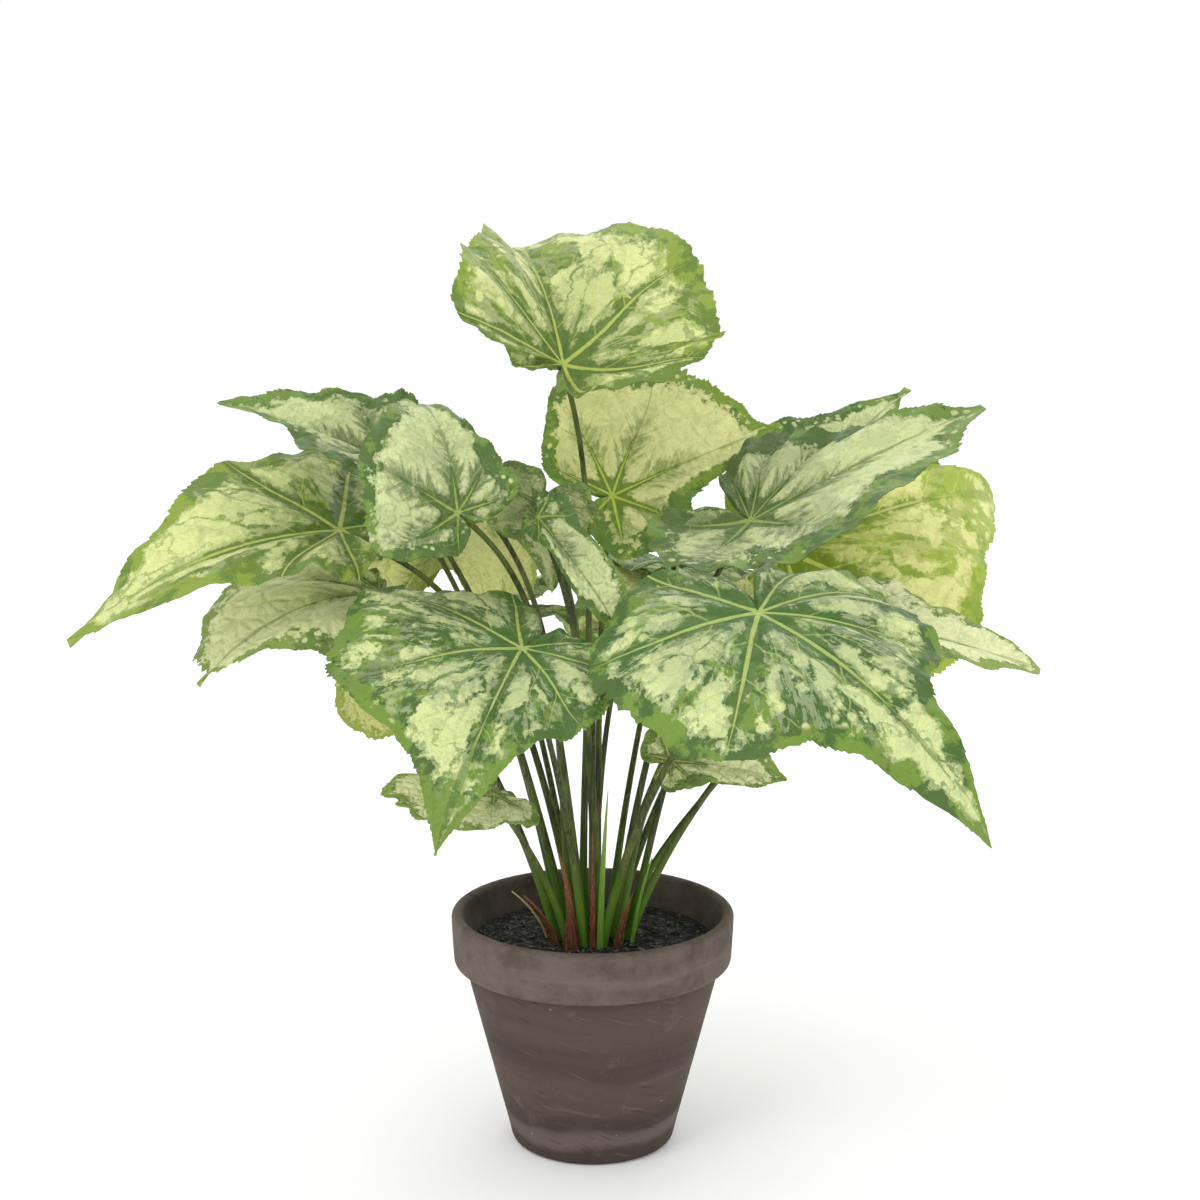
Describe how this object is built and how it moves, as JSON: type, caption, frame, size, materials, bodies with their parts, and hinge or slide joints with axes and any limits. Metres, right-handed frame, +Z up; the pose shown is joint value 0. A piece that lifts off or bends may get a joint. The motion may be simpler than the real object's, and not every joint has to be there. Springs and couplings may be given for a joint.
{
  "type": "potted begonia",
  "caption": "Bushy begonia with large, lopsided, toothed leaves on long bare stems, rising from the soil of a round tapering clay pot with a thick rim band.",
  "frame": {"origin": "centre of the pot's flat underside", "axes": "+Z up along the pot's axis; the show side, with the two large lowest front leaves, faces -Y; +X is to the viewer's right"},
  "size_m": [0.43, 0.3543, 0.4215],
  "materials": {
    "clay": "matte",
    "soil": "matte",
    "leaf": "matte",
    "stem": "satin",
    "sheath": "matte"
  },
  "bodies": {
    "root": {"pot": "clay", "soil": "soil", "leaf_top": "leaf", "stem_top": "stem", "leaf_upper_back": "leaf", "stem_upper_back": "stem", "leaf_right_upper": "leaf", "stem_right_upper": "stem", "leaf_right_back": "leaf", "stem_right_back": "stem", "leaf_right_behind": "leaf", "stem_right_behind": "stem", "leaf_front_right": "leaf", "stem_front_right": "stem", "leaf_right_far": "leaf", "stem_right_far": "stem", "leaf_front_left": "leaf", "stem_front_left": "stem", "leaf_left_big": "leaf", "stem_left_big": "stem", "leaf_left_upper": "leaf", "stem_left_upper": "stem", "leaf_left_round": "leaf", "stem_left_round": "stem", "leaf_left_lower": "leaf", "stem_left_lower": "stem", "leaf_left_yellow": "leaf", "stem_left_yellow": "stem", "leaf_low_left": "leaf", "stem_low_left": "stem", "leaf_left_behind": "leaf", "stem_left_behind": "stem", "leaf_centre_droop": "leaf", "stem_centre_droop": "stem", "leaf_centre_up": "leaf", "stem_centre_up": "stem", "leaf_centre_olive": "leaf", "stem_centre_olive": "stem", "leaf_centre_right": "leaf", "stem_centre_right": "stem", "leaf_right_centre": "leaf", "stem_right_centre": "stem", "leaf_low_right": "leaf", "stem_low_right": "stem", "leaf_back_right": "leaf", "stem_back_right": "stem", "leaf_back_left": "leaf", "stem_back_left": "stem", "leaf_back_middle": "leaf", "stem_back_middle": "stem", "leaf_back_low": "leaf", "stem_back_low": "stem", "sheath_left_brown": "sheath", "sheath_left_pale": "sheath", "sheath_front_brown": "sheath", "sheath_tall_brown": "sheath", "sheath_thin_red": "sheath", "sheath_green_blade": "sheath", "sheath_right_brown": "sheath", "sheath_green_short": "sheath"}
  },
  "joints": []
}
